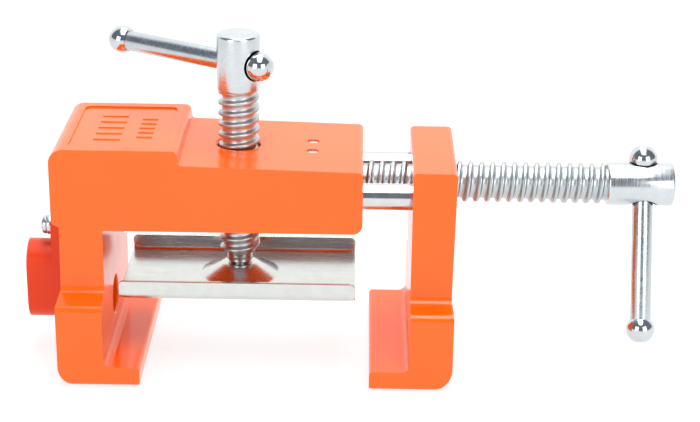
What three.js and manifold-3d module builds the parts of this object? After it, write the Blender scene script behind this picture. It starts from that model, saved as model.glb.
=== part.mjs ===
// Cabinet face-frame clamp: a cast C frame, a sliding jaw on a left-hand clamp screw, a press screw with
// a sheet-steel plate, and a swinging drill guide. Millimetres, +Z up. X runs along the clamp screw,
// Y across the feet, and Z = 0 is the underside of both feet. Sizes along X are counted from the press
// screw's axis; the whole object is then moved so that X = 0 is the middle of its length.
import * as THREE from 'three';
import { mergeVertices } from 'three/addons/utils/BufferGeometryUtils.js';
import Module from 'manifold-3d';

const wasm = await Module();
wasm.setup();

// ---- driving dimensions ----
const GAP = 0.3; // running and seating clearance between separate pieces
const ROUND = 24; // facets round a turned piece

const foot = { halfDepth: 29.2, edge: 1 };
const frame = {
  legInner: -37.1, legOuter: -49.2, footOuter: -50.15, toeTip: -26.9, toeTop: 5.8,
  headOuter: -51.35, headRight: -15.8, headTop: 68.3, headBottom: 46.3,
  beamEnd: 35.7, beamBottom: 44.5, beamTopAtHead: 64.1, beamTopAtEnd: 62.8,
  halfDepth: 21.45, ledgeTop: 26.4, ledgeBottom: 23.9,
};
const jaw = {
  inner: 49.65, outerTop: 62, outerWaist: 61.4, footOuter: 61.9, toeTip: 38.25, toeTop: 5.7,
  top: 62.7, halfDepth: 20.9, ledgeTop: 24.2, ledgeBottom: 22.9,
};
const thread = { pitch: 3.175, major: 5.85, root: 4.75, crestHalf: 0.18, baseHalf: 0.31, facets: 10 };
const hub = { radius: 6.2, chamfer: 0.8 };
const bar = { radius: 2.95, span: 49.1, seat: 7.2 }; // span is between the ball centres
const ball = { radius: 4.15, flat: 3.65, socketDepth: -0.4 };

const clampScrew = {
  z: 53.1, journalStart: 10, threadStart: frame.beamEnd + GAP, threadEnd: 105.4,
  hubStart: 105.9, hubEnd: 125.1, barX: 116.6, barTilt: THREE.MathUtils.degToRad(69.8),
  grooveX: 21.25, grooveRadius: 2.35, grooveHalf: 2,
};
const pressScrew = {
  tip: 22.95, shoulder: 27.45, tipRadius: 2.6, threadStart: 31, threadEnd: 79.3, hubStart: 79.8, hubEnd: 96.3,
  barZ: 87.7, barTurn: THREE.MathUtils.degToRad(-32.2), neckRadius: 3.8, ringGroove: [23.45, 24.45, 2.05],
};
const rod = { radius: 3.8, y: 13.5, start: -28, end: 59 };
const pin = { radius: 1.6, y: 4.25, bottom: 46.3, top: 62.9 };
const plate = {
  left: -33.6, right: 33.9, halfDepth: 18.6, bottom: 22.25, flangeTop: 27.9, sheet: 1.3, bend: 2,
  coneBase: 11.6, coneTopRadius: 4.9, coneTop: 27.15, hole: 2.9,
};
const drillHole = { z: 15.9, radius: 5.6 };
const guide = {
  pivotZ: 37.7, armRadius: 6.6, bossRadius: 6.8, bossTopZ: 26.1,
  inner: frame.footOuter - GAP, armOuter: -54.4, bossOuter: -61.9, padRadius: 5, bushRadius: 4.2, bushBore: 2.45,
};
const pivot = { shank: 1.9, head: 2.7, washer: 2.85, washerThick: 1.6, headThick: 1.8, end: -42.5 };

// ---- helpers ----

// A closed outline from corners [a, b, radius], counter-clockwise; a radius rounds its corner with an arc.
function outline(corners) {
  const shape = new THREE.Shape();
  const points = corners.map(([a, b]) => new THREE.Vector2(a, b));
  corners.forEach(([, , radius = 0], i) => {
    const corner = points[i];
    const back = points.at(i - 1).clone().sub(corner).normalize();
    const ahead = points[(i + 1) % points.length].clone().sub(corner).normalize();
    const half = Math.acos(THREE.MathUtils.clamp(back.dot(ahead), -1, 1)) / 2;
    const start = corner.clone().addScaledVector(back, radius / Math.tan(half));
    if (i === 0) shape.moveTo(start.x, start.y);
    else shape.lineTo(start.x, start.y);
    if (radius === 0) return;
    const end = corner.clone().addScaledVector(ahead, radius / Math.tan(half));
    const inward = back.clone().add(ahead).normalize();
    const centre = corner.clone().addScaledVector(inward, radius / Math.sin(half));
    const turnsRight = back.cross(ahead) > 0;
    const startAngle = Math.atan2(start.y - centre.y, start.x - centre.x);
    const endAngle = Math.atan2(end.y - centre.y, end.x - centre.x);
    shape.absarc(centre.x, centre.y, radius, startAngle, endAngle, turnsRight);
  });
  return shape;
}

// Mirrors the right half of an outline, given from the bottom up, about the vertical axis.
function mirrored(rightHalf) {
  const leftHalf = rightHalf.map(([a, b, radius]) => [-a, b, radius]).reverse();
  return [...rightHalf, ...leftHalf];
}

// An XZ outline made solid from y = low to y = high.
function throughY(shape, low, high, curveSegments = 3) {
  const geometry = new THREE.ExtrudeGeometry(shape, { depth: high - low, bevelEnabled: false, curveSegments });
  return solid(geometry.rotateX(Math.PI / 2).translate(0, high, 0));
}

// A YZ outline made solid from x = low to x = high.
function throughX(shape, low, high, curveSegments = 3) {
  const geometry = new THREE.ExtrudeGeometry(shape, { depth: high - low, bevelEnabled: false, curveSegments });
  return solid(geometry.rotateX(Math.PI / 2).rotateZ(Math.PI / 2).translate(low, 0, 0));
}

// A turned body about +Z from its [radius, height] profile, bottom to top.
function turned(profile, facets = ROUND) {
  const points = profile.map(([radius, height]) => new THREE.Vector2(radius, height));
  return new THREE.LatheGeometry(points, facets).rotateX(Math.PI / 2);
}

function cylinder(radius, low, high, facets = ROUND) {
  return turned([[0, low], [radius, low], [radius, high], [0, high]], facets);
}

// A cylinder with a chamfer at each end.
function chamfered(radius, low, high, chamfer, facets = ROUND) {
  const slim = radius - chamfer;
  return turned([[0, low], [slim, low], [radius, low + chamfer], [radius, high - chamfer], [slim, high],
    [0, high]], facets);
}

// Lays a body that was built about +Z along +X.
function alongX(geometry) {
  return geometry.rotateY(Math.PI / 2);
}

// A closed geometry as a solid that can be joined and cut.
function solid(geometry) {
  const bare = geometry.clone();
  bare.deleteAttribute('normal');
  bare.deleteAttribute('uv');
  const merged = mergeVertices(bare, 1e-5);
  return new wasm.Manifold(new wasm.Mesh({
    numProp: 3,
    vertProperties: new Float32Array(merged.attributes.position.array),
    triVerts: new Uint32Array(merged.index.array),
  }));
}

// A solid back as a geometry.
function geometryOf(body) {
  const { vertProperties, triVerts } = body.getMesh();
  const geometry = new THREE.BufferGeometry();
  geometry.setAttribute('position', new THREE.BufferAttribute(vertProperties, 3));
  geometry.setIndex(new THREE.BufferAttribute(triVerts, 1));
  return geometry;
}

// A threaded rod about +Z that covers low to high, as one ridge that climbs a pitch each turn. The turns
// lie on one grid of pitches from z = 0, so a screw and a nut made with the same hand are in mesh.
// spare widens the thread all over, which gives a nut's thread its clearance.
function threadedRod(low, high, hand, spare = 0) {
  const { pitch, facets } = thread;
  const root = thread.root + spare;
  const crest = thread.major + spare;
  const crestHalf = thread.crestHalf + 0.5 * spare / pitch;
  const baseHalf = thread.baseHalf + 0.5 * spare / pitch;
  const profile = [[0.5 - baseHalf, root], [0.5 - crestHalf, crest], [0.5 + crestHalf, crest],
    [0.5 + baseHalf, root]];
  const firstTurn = Math.floor(low / pitch) - 2;
  const turns = Math.ceil(high / pitch) + 1 - firstTurn;
  const lastStation = turns * facets;
  const vertices = [];
  for (let station = 0; station <= lastStation + facets; station += 1) {
    const angle = hand * 2 * Math.PI * station / facets;
    const height = pitch * (firstTurn + station / facets);
    for (const [along, radius] of profile) {
      vertices.push(radius * Math.cos(angle), radius * Math.sin(angle), height + along * pitch);
    }
  }
  const bottomCentre = vertices.length / 3;
  vertices.push(0, 0, pitch * (firstTurn + 0.5));
  vertices.push(0, 0, pitch * (firstTurn + turns + 0.5));
  const topCentre = bottomCentre + 1;
  const steps = profile.length;
  const at = (station, step) => (step < steps ? station * steps + step : (station + facets) * steps);
  const triangles = [];
  for (let station = 0; station < lastStation; station += 1) {
    for (let step = 0; step < steps; step += 1) {
      const [a, b] = [at(station, step), at(station + 1, step)];
      const [c, d] = [at(station + 1, step + 1), at(station, step + 1)];
      triangles.push([a, b, c], [a, c, d]);
    }
  }
  for (let step = 0; step < steps; step += 1) {
    triangles.push([at(0, step), at(0, step + 1), bottomCentre]);
    triangles.push([at(lastStation, step + 1), at(lastStation, step), topCentre]);
  }
  for (let station = 0; station < facets; station += 1) {
    const upper = lastStation + station;
    triangles.push([at(station + 1, 0), at(station, 0), bottomCentre]);
    triangles.push([at(upper, 0), at(upper + 1, 0), topCentre]);
  }
  const geometry = new THREE.BufferGeometry();
  geometry.setAttribute('position', new THREE.Float32BufferAttribute(vertices, 3));
  geometry.setIndex(triangles.map((corners) => (hand > 0 ? corners : corners.reverse())).flat());
  return geometry;
}

// A screw's threaded stretch from low to high with a lead chamfer at each end.
function screwThread(low, high, hand) {
  const lead = thread.major - thread.root + 0.1;
  const envelope = chamfered(thread.major + 0.1, low, high, lead);
  return solid(threadedRod(low, high, hand)).intersect(solid(envelope));
}

// ---- materials ----
const coat = () => new THREE.MeshStandardMaterial({ color: 0xff6e2c, roughness: 0.35, metalness: 0 });
const guideCoat = () => new THREE.MeshStandardMaterial({ color: 0xf0562a, roughness: 0.4, metalness: 0 });
const plated = () => new THREE.MeshStandardMaterial({ color: 0xd9dbdc, roughness: 0.2, metalness: 1 });
const sheetSteel = () => new THREE.MeshStandardMaterial({ color: 0xcdd0ce, roughness: 0.35, metalness: 1 });
const toolSteel = () => new THREE.MeshStandardMaterial({ color: 0x8d9093, roughness: 0.3, metalness: 1 });

const clamp = new THREE.Group();
clamp.position.x = -(guide.bossOuter + clampScrew.hubEnd) / 2;

function add(name, geometry, material, group = clamp) {
  const mesh = new THREE.Mesh(geometry, material);
  mesh.name = name;
  group.add(mesh);
}

// ---- fixed casting ----

// The front silhouette that both castings share: a foot that narrows over a ledge to the leg above it.
function footAndLeg({ halfDepth, ledgeTop, ledgeBottom }, top) {
  return outline(mirrored([
    [foot.halfDepth, 0, foot.edge], [foot.halfDepth, ledgeBottom, 1.8], [halfDepth, ledgeTop, 1.8],
    [halfDepth, top],
  ]));
}

function makeBody() {
  const side = outline([
    [frame.toeTip, 0, 0.8], [frame.toeTip, frame.toeTop, 0.8], [frame.legInner, frame.toeTop, 2.3],
    [frame.legInner, frame.beamBottom, 0.8], [frame.beamEnd, frame.beamBottom, 2.8],
    [frame.beamEnd, frame.beamTopAtEnd, 1.2], [frame.headRight + 0.6, frame.beamTopAtHead, 0.8],
    [frame.headRight, frame.headTop, 1.6], [frame.headOuter, frame.headTop, 4],
    [frame.headOuter, frame.headBottom, 1], [frame.legOuter, frame.headBottom - 0.9, 0.6],
    [frame.legOuter - 0.3, frame.ledgeTop, 1.2], [frame.footOuter, frame.ledgeBottom, 1.2],
    [frame.footOuter, 0, 5.5],
  ]);
  const blank = throughY(side, -foot.halfDepth, foot.halfDepth);
  const silhouette = footAndLeg(frame, frame.headTop + 1);
  return blank.intersect(throughX(silhouette, frame.headOuter - 1, frame.beamEnd + 1))
    .subtract(headRecess())
    .subtract(solid(alongX(cylinder(thread.root + GAP, clampScrew.journalStart - GAP, frame.beamEnd + 1))
      .translate(0, 0, clampScrew.z)))
    .subtract(rodHole(rod.y, -44, frame.beamEnd + 1))
    .subtract(rodHole(-rod.y, -44, frame.beamEnd + 1))
    .subtract(pinHole(pin.y))
    .subtract(pinHole(-pin.y))
    .subtract(solid(threadedRod(frame.beamBottom - 2, frame.headTop, 1, GAP + 0.05)))
    .subtract(solid(alongX(cylinder(drillHole.radius, frame.footOuter - 1, frame.legInner + 1))
      .translate(0, 0, drillHole.z)))
    .subtract(solid(alongX(cylinder(pivot.shank + GAP, frame.legOuter - 1, pivot.end + 0.5))
      .translate(0, 0, guide.pivotZ)));
}

// The shallow panel in the head's top, with two rows of plain cast ribs left standing in it.
function headRecess() {
  const depth = 0.6;
  const floor = frame.headTop - depth;
  const panel = outline([[-46.4, -18.4, 2], [-19.2, -18.4, 2], [-19.2, 18.4, 2], [-46.4, 18.4, 2]]);
  const cut = new THREE.ExtrudeGeometry(panel, { depth: depth + 1, bevelEnabled: false, curveSegments: 3 });
  let recess = solid(cut.translate(0, 0, floor));
  for (const [x, length, count, pitch] of [[-36.5, 7.5, 5, 5.2], [-26.2, 4.5, 5, 4]]) {
    for (let i = 0; i < count; i += 1) {
      const rib = new THREE.BoxGeometry(length, 1.4, depth + 1);
      rib.translate(x, (i - (count - 1) / 2) * pitch, floor + 0.35 - (depth + 1) / 2);
      recess = recess.subtract(solid(rib));
    }
  }
  return recess;
}

function rodHole(y, from, to) {
  return solid(alongX(cylinder(rod.radius + GAP, from, to)).translate(0, y, clampScrew.z));
}

function pinHole(y) {
  return solid(cylinder(pin.radius + GAP, pin.bottom - GAP, frame.headTop, 16)
    .translate(clampScrew.grooveX, y, 0));
}

// ---- sliding casting ----
function makeJaw() {
  const side = outline([
    [jaw.toeTip, 0, 0.8], [jaw.footOuter, 0, 6.5], [jaw.footOuter, jaw.ledgeBottom, 1.2],
    [jaw.outerWaist, jaw.ledgeTop, 0.8], [jaw.outerTop, jaw.top, 0.8], [jaw.inner, jaw.top, 0.8],
    [jaw.inner, jaw.toeTop, 2.2], [jaw.toeTip, jaw.toeTop, 0.8],
  ]);
  const silhouette = footAndLeg(jaw, jaw.top + 1);
  return throughY(side, -foot.halfDepth, foot.halfDepth)
    .intersect(throughX(silhouette, jaw.toeTip - 1, jaw.outerTop + 1))
    .subtract(solid(alongX(threadedRod(jaw.inner - 2, jaw.outerTop + 2, -1, GAP + 0.05))
      .translate(0, 0, clampScrew.z)))
    .subtract(rodHole(rod.y, jaw.inner - 1, rod.end + GAP))
    .subtract(rodHole(-rod.y, jaw.inner - 1, rod.end + GAP));
}

// ---- screws ----

// The cross hole for a sliding bar, with a round seat for the ball at each mouth, about +Z at z = 0 and
// with the bar along the direction given.
function crossHole(direction) {
  const turn = new THREE.Quaternion().setFromUnitVectors(new THREE.Vector3(0, 0, 1), direction);
  const hole = solid(cylinder(bar.radius + GAP, -2 * hub.radius, 2 * hub.radius, 16).applyQuaternion(turn));
  return [-1, 1].reduce((cut, side) => {
    const seat = new THREE.SphereGeometry(ball.radius + GAP, 16, 10);
    return cut.add(solid(seat.translate(...direction.clone().multiplyScalar(side * bar.seat).toArray())));
  }, hole);
}

function makeClampScrew() {
  const journal = turned([
    [0, clampScrew.journalStart], [thread.root - 0.5, clampScrew.journalStart],
    [thread.root, clampScrew.journalStart + 0.5],
    [thread.root, clampScrew.grooveX - clampScrew.grooveHalf],
    [clampScrew.grooveRadius, clampScrew.grooveX - clampScrew.grooveHalf],
    [clampScrew.grooveRadius, clampScrew.grooveX + clampScrew.grooveHalf],
    [thread.root, clampScrew.grooveX + clampScrew.grooveHalf],
    [thread.root, clampScrew.threadStart + 0.5], [0, clampScrew.threadStart + 0.5],
  ]);
  const neck = cylinder(thread.root, clampScrew.threadEnd - 0.5, clampScrew.hubStart + 0.5);
  const head = chamfered(hub.radius, clampScrew.hubStart, clampScrew.hubEnd, hub.chamfer);
  return solid(alongX(journal))
    .add(solid(alongX(neck)))
    .add(solid(alongX(geometryOf(screwThread(clampScrew.threadStart, clampScrew.threadEnd, -1)))))
    .add(solid(alongX(head)))
    .subtract(crossHole(clampBarDirection).translate([clampScrew.barX, 0, 0]))
    .translate([0, 0, clampScrew.z]);
}

function makePressScrew() {
  const [grooveLow, grooveHigh, grooveRadius] = pressScrew.ringGroove;
  const stem = turned([
    [0, pressScrew.tip], [pressScrew.tipRadius - 0.4, pressScrew.tip], [pressScrew.tipRadius, pressScrew.tip + 0.4],
    [pressScrew.tipRadius, grooveLow], [grooveRadius, grooveLow], [grooveRadius, grooveHigh],
    [pressScrew.tipRadius, grooveHigh], [pressScrew.tipRadius, pressScrew.shoulder],
    [pressScrew.neckRadius - 0.7, pressScrew.shoulder], [pressScrew.neckRadius, pressScrew.shoulder + 0.7],
    [pressScrew.neckRadius, pressScrew.threadStart + 0.5], [0, pressScrew.threadStart + 0.5],
  ]);
  const neck = cylinder(thread.root, pressScrew.threadEnd - 0.5, pressScrew.hubStart + 0.5);
  const head = chamfered(hub.radius - 0.05, pressScrew.hubStart, pressScrew.hubEnd, hub.chamfer);
  return solid(stem)
    .add(solid(neck))
    .add(screwThread(pressScrew.threadStart, pressScrew.threadEnd, 1))
    .add(solid(head))
    .subtract(crossHole(pressBarDirection).translate([0, 0, pressScrew.barZ]));
}

// ---- sliding T-bars ----
const clampBarDirection = new THREE.Vector3(0, Math.cos(clampScrew.barTilt), Math.sin(clampScrew.barTilt));
const pressBarDirection = new THREE.Vector3(Math.cos(pressScrew.barTurn), Math.sin(pressScrew.barTurn), 0);

// A ball end whose socket opens towards -Z, with its centre at the origin.
function ballEnd() {
  const socket = bar.radius + GAP;
  const start = Math.atan2(-Math.sqrt(ball.radius ** 2 - socket ** 2), socket);
  const end = Math.asin(ball.flat / ball.radius);
  const arc = Array.from({ length: 7 }, (_, i) => {
    const angle = start + (end - start) * i / 6;
    return [ball.radius * Math.cos(angle), ball.radius * Math.sin(angle)];
  });
  return turned([[0, ball.socketDepth], [socket, ball.socketDepth], ...arc, [0, ball.flat]], 14);
}

// The bar lies on its stop: the ball on the +direction side rests in its seat in the hub.
function addHandle(prefix, seated, free, centre, direction) {
  const handle = new THREE.Group();
  const middle = bar.seat - bar.span / 2;
  handle.position.copy(centre).addScaledVector(direction, middle);
  handle.quaternion.setFromUnitVectors(new THREE.Vector3(0, 0, 1), direction);
  clamp.add(handle);
  const halfLength = bar.span / 2 + ball.socketDepth - GAP;
  add(`${prefix}_bar`, chamfered(bar.radius, -halfLength, halfLength, 0.4, 16), plated(), handle);
  add(`${prefix}_${seated}`, ballEnd().translate(0, 0, bar.span / 2), plated(), handle);
  add(`${prefix}_${free}`, ballEnd().rotateX(Math.PI).translate(0, 0, -bar.span / 2), plated(), handle);
}

// ---- press plate ----
function makePressPlate() {
  const { left, right, halfDepth, bottom, flangeTop, sheet, bend } = plate;
  const inside = halfDepth - sheet;
  const channel = outline([
    [-halfDepth, flangeTop, 0.3], [-halfDepth, bottom, bend], [halfDepth, bottom, bend],
    [halfDepth, flangeTop, 0.3], [inside, flangeTop, 0.3], [inside, bottom + sheet, bend - sheet],
    [-inside, bottom + sheet, bend - sheet], [-inside, flangeTop, 0.3],
  ]);
  const ends = outline([
    [left, bottom - 1], [right, bottom - 1], [right, flangeTop, 2], [left, flangeTop, 2],
  ]);
  const cone = turned([
    [0, bottom], [plate.coneBase, bottom], [plate.coneBase, bottom + sheet],
    [plate.coneTopRadius, plate.coneTop], [0, plate.coneTop],
  ]);
  const hollow = turned([
    [0, bottom - 1], [plate.coneBase - 0.6, bottom - 1], [plate.coneBase - 0.6, bottom],
    [plate.coneTopRadius - 0.4, plate.coneTop - sheet], [0, plate.coneTop - sheet],
  ]);
  return throughX(channel, left - 1, right + 1)
    .intersect(throughY(ends, -halfDepth - 1, halfDepth + 1))
    .add(solid(cone))
    .subtract(solid(hollow))
    .subtract(solid(cylinder(plate.hole, bottom, plate.coneTop + 1)));
}

// The washer under the cone, and the open ring in the screw's groove that holds the plate up.
function makeRetainingWasher() {
  const [bottom, top] = [24.7, plate.coneTop - plate.sheet - 0.2];
  const inner = plate.hole;
  return turned([[inner, bottom], [4.2, bottom], [4.2, top], [inner, top], [inner, bottom]]);
}

function makeRetainingRing() {
  const inner = pressScrew.ringGroove[2] + 0.2;
  const shape = new THREE.Shape();
  const opening = 0.6;
  shape.absarc(0, 0, 3.7, opening, 2 * Math.PI - opening, false);
  shape.absarc(0, 0, inner, 2 * Math.PI - opening, opening, true);
  const ring = new THREE.ExtrudeGeometry(shape, { depth: 0.6, bevelEnabled: false, curveSegments: 8 });
  return ring.translate(0, 0, pressScrew.ringGroove[0] + 0.2);
}

// ---- drill guide ----
function makeDrillGuide() {
  const { pivotZ, armRadius, bossRadius, bossTopZ, inner, armOuter, bossOuter } = guide;
  const arm = outline([
    [-armRadius, drillHole.z - armRadius, armRadius - 0.01], [armRadius, drillHole.z - armRadius, armRadius - 0.01],
    [armRadius, pivotZ + armRadius, armRadius - 0.01], [-armRadius, pivotZ + armRadius, armRadius - 0.01],
  ]);
  const boss = outline([
    [-bossRadius, drillHole.z - bossRadius, bossRadius - 0.01],
    [bossRadius, drillHole.z - bossRadius, bossRadius - 0.01],
    [bossRadius, bossTopZ + bossRadius, bossRadius - 0.01], [-bossRadius, bossTopZ + bossRadius, bossRadius - 0.01],
  ]);
  const pad = alongX(cylinder(guide.padRadius, armOuter + 1, frame.legOuter - GAP - 0.15))
    .translate(0, 0, pivotZ);
  const bushHole = alongX(cylinder(guide.bushRadius + GAP, bossOuter - 1, inner + 1));
  const pivotHole = alongX(cylinder(pivot.shank + GAP, armOuter - 1, frame.legOuter + 1, 16));
  return throughX(arm, armOuter, inner)
    .add(throughX(boss, bossOuter, inner))
    .add(solid(pad))
    .subtract(solid(bushHole.translate(0, 0, drillHole.z)))
    .subtract(solid(pivotHole.translate(0, 0, pivotZ)));
}

function makeBushing() {
  const [from, to] = [guide.bossOuter + 0.1, guide.inner - 0.2];
  const { bushRadius, bushBore } = guide;
  return alongX(turned([[bushBore, from + 0.6], [bushBore + 0.6, from], [bushRadius, from], [bushRadius, to],
    [bushBore, to], [bushBore, from + 0.6]])).translate(0, 0, drillHole.z);
}

// Pan-head screw: the head's underside faces +X and rests on the spring washer.
function makePivotScrew() {
  const underHead = guide.armOuter - pivot.washerThick - 2 * 0.2;
  const crown = Array.from({ length: 5 }, (_, i) => {
    const angle = Math.PI / 2 * i / 4;
    return [pivot.head * Math.sin(angle), underHead - 0.5 - (pivot.headThick - 0.5) * Math.cos(angle)];
  });
  const body = turned([...crown, [pivot.head, underHead], [pivot.shank, underHead],
    [pivot.shank, pivot.end - 0.4], [pivot.shank - 0.4, pivot.end], [0, pivot.end]], 16);
  const slot = new THREE.BoxGeometry(1.6, 3 * pivot.head, 0.8).translate(underHead - pivot.headThick, 0, 0);
  return solid(alongX(body)).subtract(solid(slot)).translate([0, 0, guide.pivotZ]);
}

function makeSpringWasher() {
  const [from, to] = [guide.armOuter - 0.2 - pivot.washerThick, guide.armOuter - 0.2];
  const inner = pivot.shank + GAP;
  return alongX(turned([[inner, from], [pivot.washer, from], [pivot.washer, to], [inner, to], [inner, from]], 16))
    .translate(0, 0, guide.pivotZ);
}

// ---- assembly ----
add('clamp_body', geometryOf(makeBody()), coat());
add('moving_jaw', geometryOf(makeJaw()), coat());
for (const [name, side] of [['front', -1], ['rear', 1]]) {
  const guideRod = alongX(chamfered(rod.radius, rod.start, rod.end, 0.6));
  add(`guide_rod_${name}`, guideRod.translate(0, side * rod.y, clampScrew.z), plated());
  const retainingPin = chamfered(pin.radius, pin.bottom, pin.top, 0.3, 16);
  add(`screw_retaining_pin_${name}`, retainingPin.translate(clampScrew.grooveX, side * pin.y, 0), plated());
}
add('clamp_screw', geometryOf(makeClampScrew()), plated());
addHandle('clamp_handle', 'ball_upper', 'ball_lower', new THREE.Vector3(clampScrew.barX, 0, clampScrew.z),
  clampBarDirection);
add('press_screw', geometryOf(makePressScrew()), plated());
addHandle('press_handle', 'ball_near', 'ball_far', new THREE.Vector3(0, 0, pressScrew.barZ),
  pressBarDirection);
add('press_plate', geometryOf(makePressPlate()), sheetSteel());
add('press_retaining_washer', makeRetainingWasher(), plated());
add('press_retaining_ring', makeRetainingRing(), toolSteel());
add('drill_guide', geometryOf(makeDrillGuide()), guideCoat());
add('drill_guide_bushing', makeBushing(), toolSteel());
add('guide_pivot_screw', geometryOf(makePivotScrew()), plated());
add('guide_spring_washer', makeSpringWasher(), plated());

export default clamp;
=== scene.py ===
# Cabinet face-frame clamp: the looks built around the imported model.
import math

import bpy
from mathutils import Matrix, Vector


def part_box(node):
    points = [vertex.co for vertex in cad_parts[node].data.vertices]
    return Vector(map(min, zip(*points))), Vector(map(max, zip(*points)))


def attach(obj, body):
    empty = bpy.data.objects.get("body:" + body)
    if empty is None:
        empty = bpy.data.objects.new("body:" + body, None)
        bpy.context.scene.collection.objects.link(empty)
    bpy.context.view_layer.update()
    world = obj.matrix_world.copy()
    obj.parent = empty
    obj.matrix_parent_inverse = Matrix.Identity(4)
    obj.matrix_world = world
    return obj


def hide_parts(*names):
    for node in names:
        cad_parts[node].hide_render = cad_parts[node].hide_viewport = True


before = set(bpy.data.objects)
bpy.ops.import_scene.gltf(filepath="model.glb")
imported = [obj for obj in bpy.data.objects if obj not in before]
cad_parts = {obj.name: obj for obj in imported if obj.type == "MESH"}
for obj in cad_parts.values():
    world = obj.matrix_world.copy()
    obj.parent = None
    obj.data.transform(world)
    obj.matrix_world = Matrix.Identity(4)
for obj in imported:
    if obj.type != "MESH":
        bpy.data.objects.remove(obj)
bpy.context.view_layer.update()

MM = 0.001
TINY = 1e-6  # a thousandth of a millimetre, in metres
FULL_TURN = 2 * math.pi

# ---- places and sizes, in millimetres; x is counted from the press screw's axis ----
body_low, body_high = (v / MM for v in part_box("clamp_body"))
jaw_low, jaw_high = (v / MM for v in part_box("moving_jaw"))
screw_low, screw_high = (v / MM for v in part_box("clamp_screw"))
press_low, press_high = (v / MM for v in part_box("press_screw"))
plate_low, plate_high = (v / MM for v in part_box("press_plate"))
rod_low, rod_high = (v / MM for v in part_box("guide_rod_front"))
pin_low, pin_high = (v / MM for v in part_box("screw_retaining_pin_front"))
guide_low, _ = (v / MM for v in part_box("drill_guide"))
AXIS_X = (press_low.x + press_high.x) / 2
SCREW_Z = (screw_low.z + screw_high.z) / 2
ROD_RADIUS, ROD_Y = (rod_high.y - rod_low.y) / 2, (rod_low.y + rod_high.y) / 2
PIN_Y = (pin_low.y + pin_high.y) / 2

FOOT_HALF = body_high.y
HEAD_OUTER = body_low.x - AXIS_X
BEAM_END = body_high.x - AXIS_X
HEAD_TOP = body_high.z
JAW_TOE = jaw_low.x - AXIS_X
JAW_OUTER = jaw_high.x - AXIS_X
JAW_TOP = jaw_high.z
HUB_END = screw_high.x - AXIS_X
PRESS_TOP = press_high.z
PRESS_TIP = press_low.z

LEG_INNER, LEG_OUTER, FOOT_OUTER, FIXED_TOE = -37.1, -49.2, -50.15, -26.9
TOE_TOP, BEAM_BOTTOM, HEAD_BOTTOM = 5.8, 44.5, 46.3
BEAM_TOP_AT_HEAD, BEAM_TOP_AT_END, HEAD_RIGHT = 64.1, 62.8, -15.8
BEAM_HALF, BODY_LEDGE_TOP, BODY_LEDGE_BOTTOM = 21.45, 26.4, 23.9
JAW_INNER, JAW_WAIST, JAW_FOOT, JAW_TOE_TOP = 49.65, 61.4, 61.9, 5.7
JAW_HALF, JAW_LEDGE_TOP, JAW_LEDGE_BOTTOM = 20.9, 24.2, 22.9
EDGE = 1.15  # how far the coated edges are rounded over
# the body's bores: where the blind ones end, and the radii of the small ones
SCREW_BORE_END, ROD_BORE_END, PIVOT_BORE_END = 9.7, -44, -42
PIN_BORE_RADIUS, PIVOT_BORE_RADIUS = 1.72, 2.1
JAW_SOCKET_RADIUS, JAW_SOCKET_END = 3.95, 59.3
ABOVE_BEAM, ABOVE_HEAD = 64, 70  # heights at which a drill is clear of the casting

PITCH, MAJOR, ROOT = 3.175, 5.85, 4.75  # 8 threads to the inch, and the thread's two radii
OVER_ROOT = ROOT + 0.03  # the smooth necks stand just proud of the thread's root
HUB_RADIUS, HUB_EASE, IN_HUB = 6.2, 0.8, 0.9  # the thread runs on IN_HUB inside the hub
CLEAR, ROD_CLEAR, BAR_CLEAR = 0.3, 0.15, 0.12
SEAT_GAP = 0.45  # room round a ball in its seat, which the bar's full travel needs
BAR_RADIUS, BAR_SPAN, BAR_SEAT = 2.95, 49.1, 7.2
BALL_RADIUS, BALL_FLAT = 4.15, 3.65
CLAMP_BAR_X, CLAMP_BAR_TILT = 116.6, math.radians(69.8)
CLAMP_BAR_WAY = Vector((0, math.cos(CLAMP_BAR_TILT), math.sin(CLAMP_BAR_TILT)))
PRESS_BAR_Z, PRESS_BAR_TURN = 87.7, math.radians(-32.2)
PRESS_BAR_WAY = Vector((math.cos(PRESS_BAR_TURN), math.sin(PRESS_BAR_TURN), 0))
HUB_START, PRESS_HUB_START = 105.9, 79.8
GROOVE_X, GROOVE_RADIUS, GROOVE_HALF = 21.25, 2.35, 2.0
RING_LOW, SHOULDER, PRESS_THREAD_LOW = 23.45, 27.45, 31
DRILL_Z, DRILL_RADIUS = 15.9, 5.6
PIVOT_Z = 37.7


# ---- modelling helpers ----
def at(x, y, z):
    """A point in metres from millimetres, with x counted from the press screw's axis."""
    return Vector((AXIS_X + x, y, z)) * MM


def take(piece):
    """Makes a piece the only one selected."""
    bpy.ops.object.select_all(action="DESELECT")
    piece.select_set(True)
    bpy.context.view_layer.objects.active = piece


def edit(piece):
    """Opens a piece for editing with everything in it selected."""
    take(piece)
    bpy.ops.object.mode_set(mode="EDIT")
    bpy.ops.mesh.select_all(action="SELECT")


def done():
    """Ends the editing of a piece."""
    bpy.ops.object.mode_set(mode="OBJECT")


def edit_where(piece, kind, wanted):
    """Opens a piece for editing with only the vertices selected that pass a test, or only the edges
    whose two ends do."""
    edit(piece)
    bpy.ops.mesh.select_mode(type=kind)
    bpy.ops.mesh.select_all(action="DESELECT")
    done()
    vertices = piece.data.vertices
    if kind == "VERT":
        for vertex in vertices:
            vertex.select = wanted(vertex.co)
    else:
        for edge in piece.data.edges:
            edge.select = all(wanted(vertices[i].co) for i in edge.vertices)
    bpy.ops.object.mode_set(mode="EDIT")


def place(piece, matrix):
    """Moves a piece and leaves its place in its mesh."""
    take(piece)
    piece.matrix_world = matrix @ piece.matrix_world
    bpy.ops.object.transform_apply(location=True, rotation=True, scale=True)
    return piece


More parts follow.
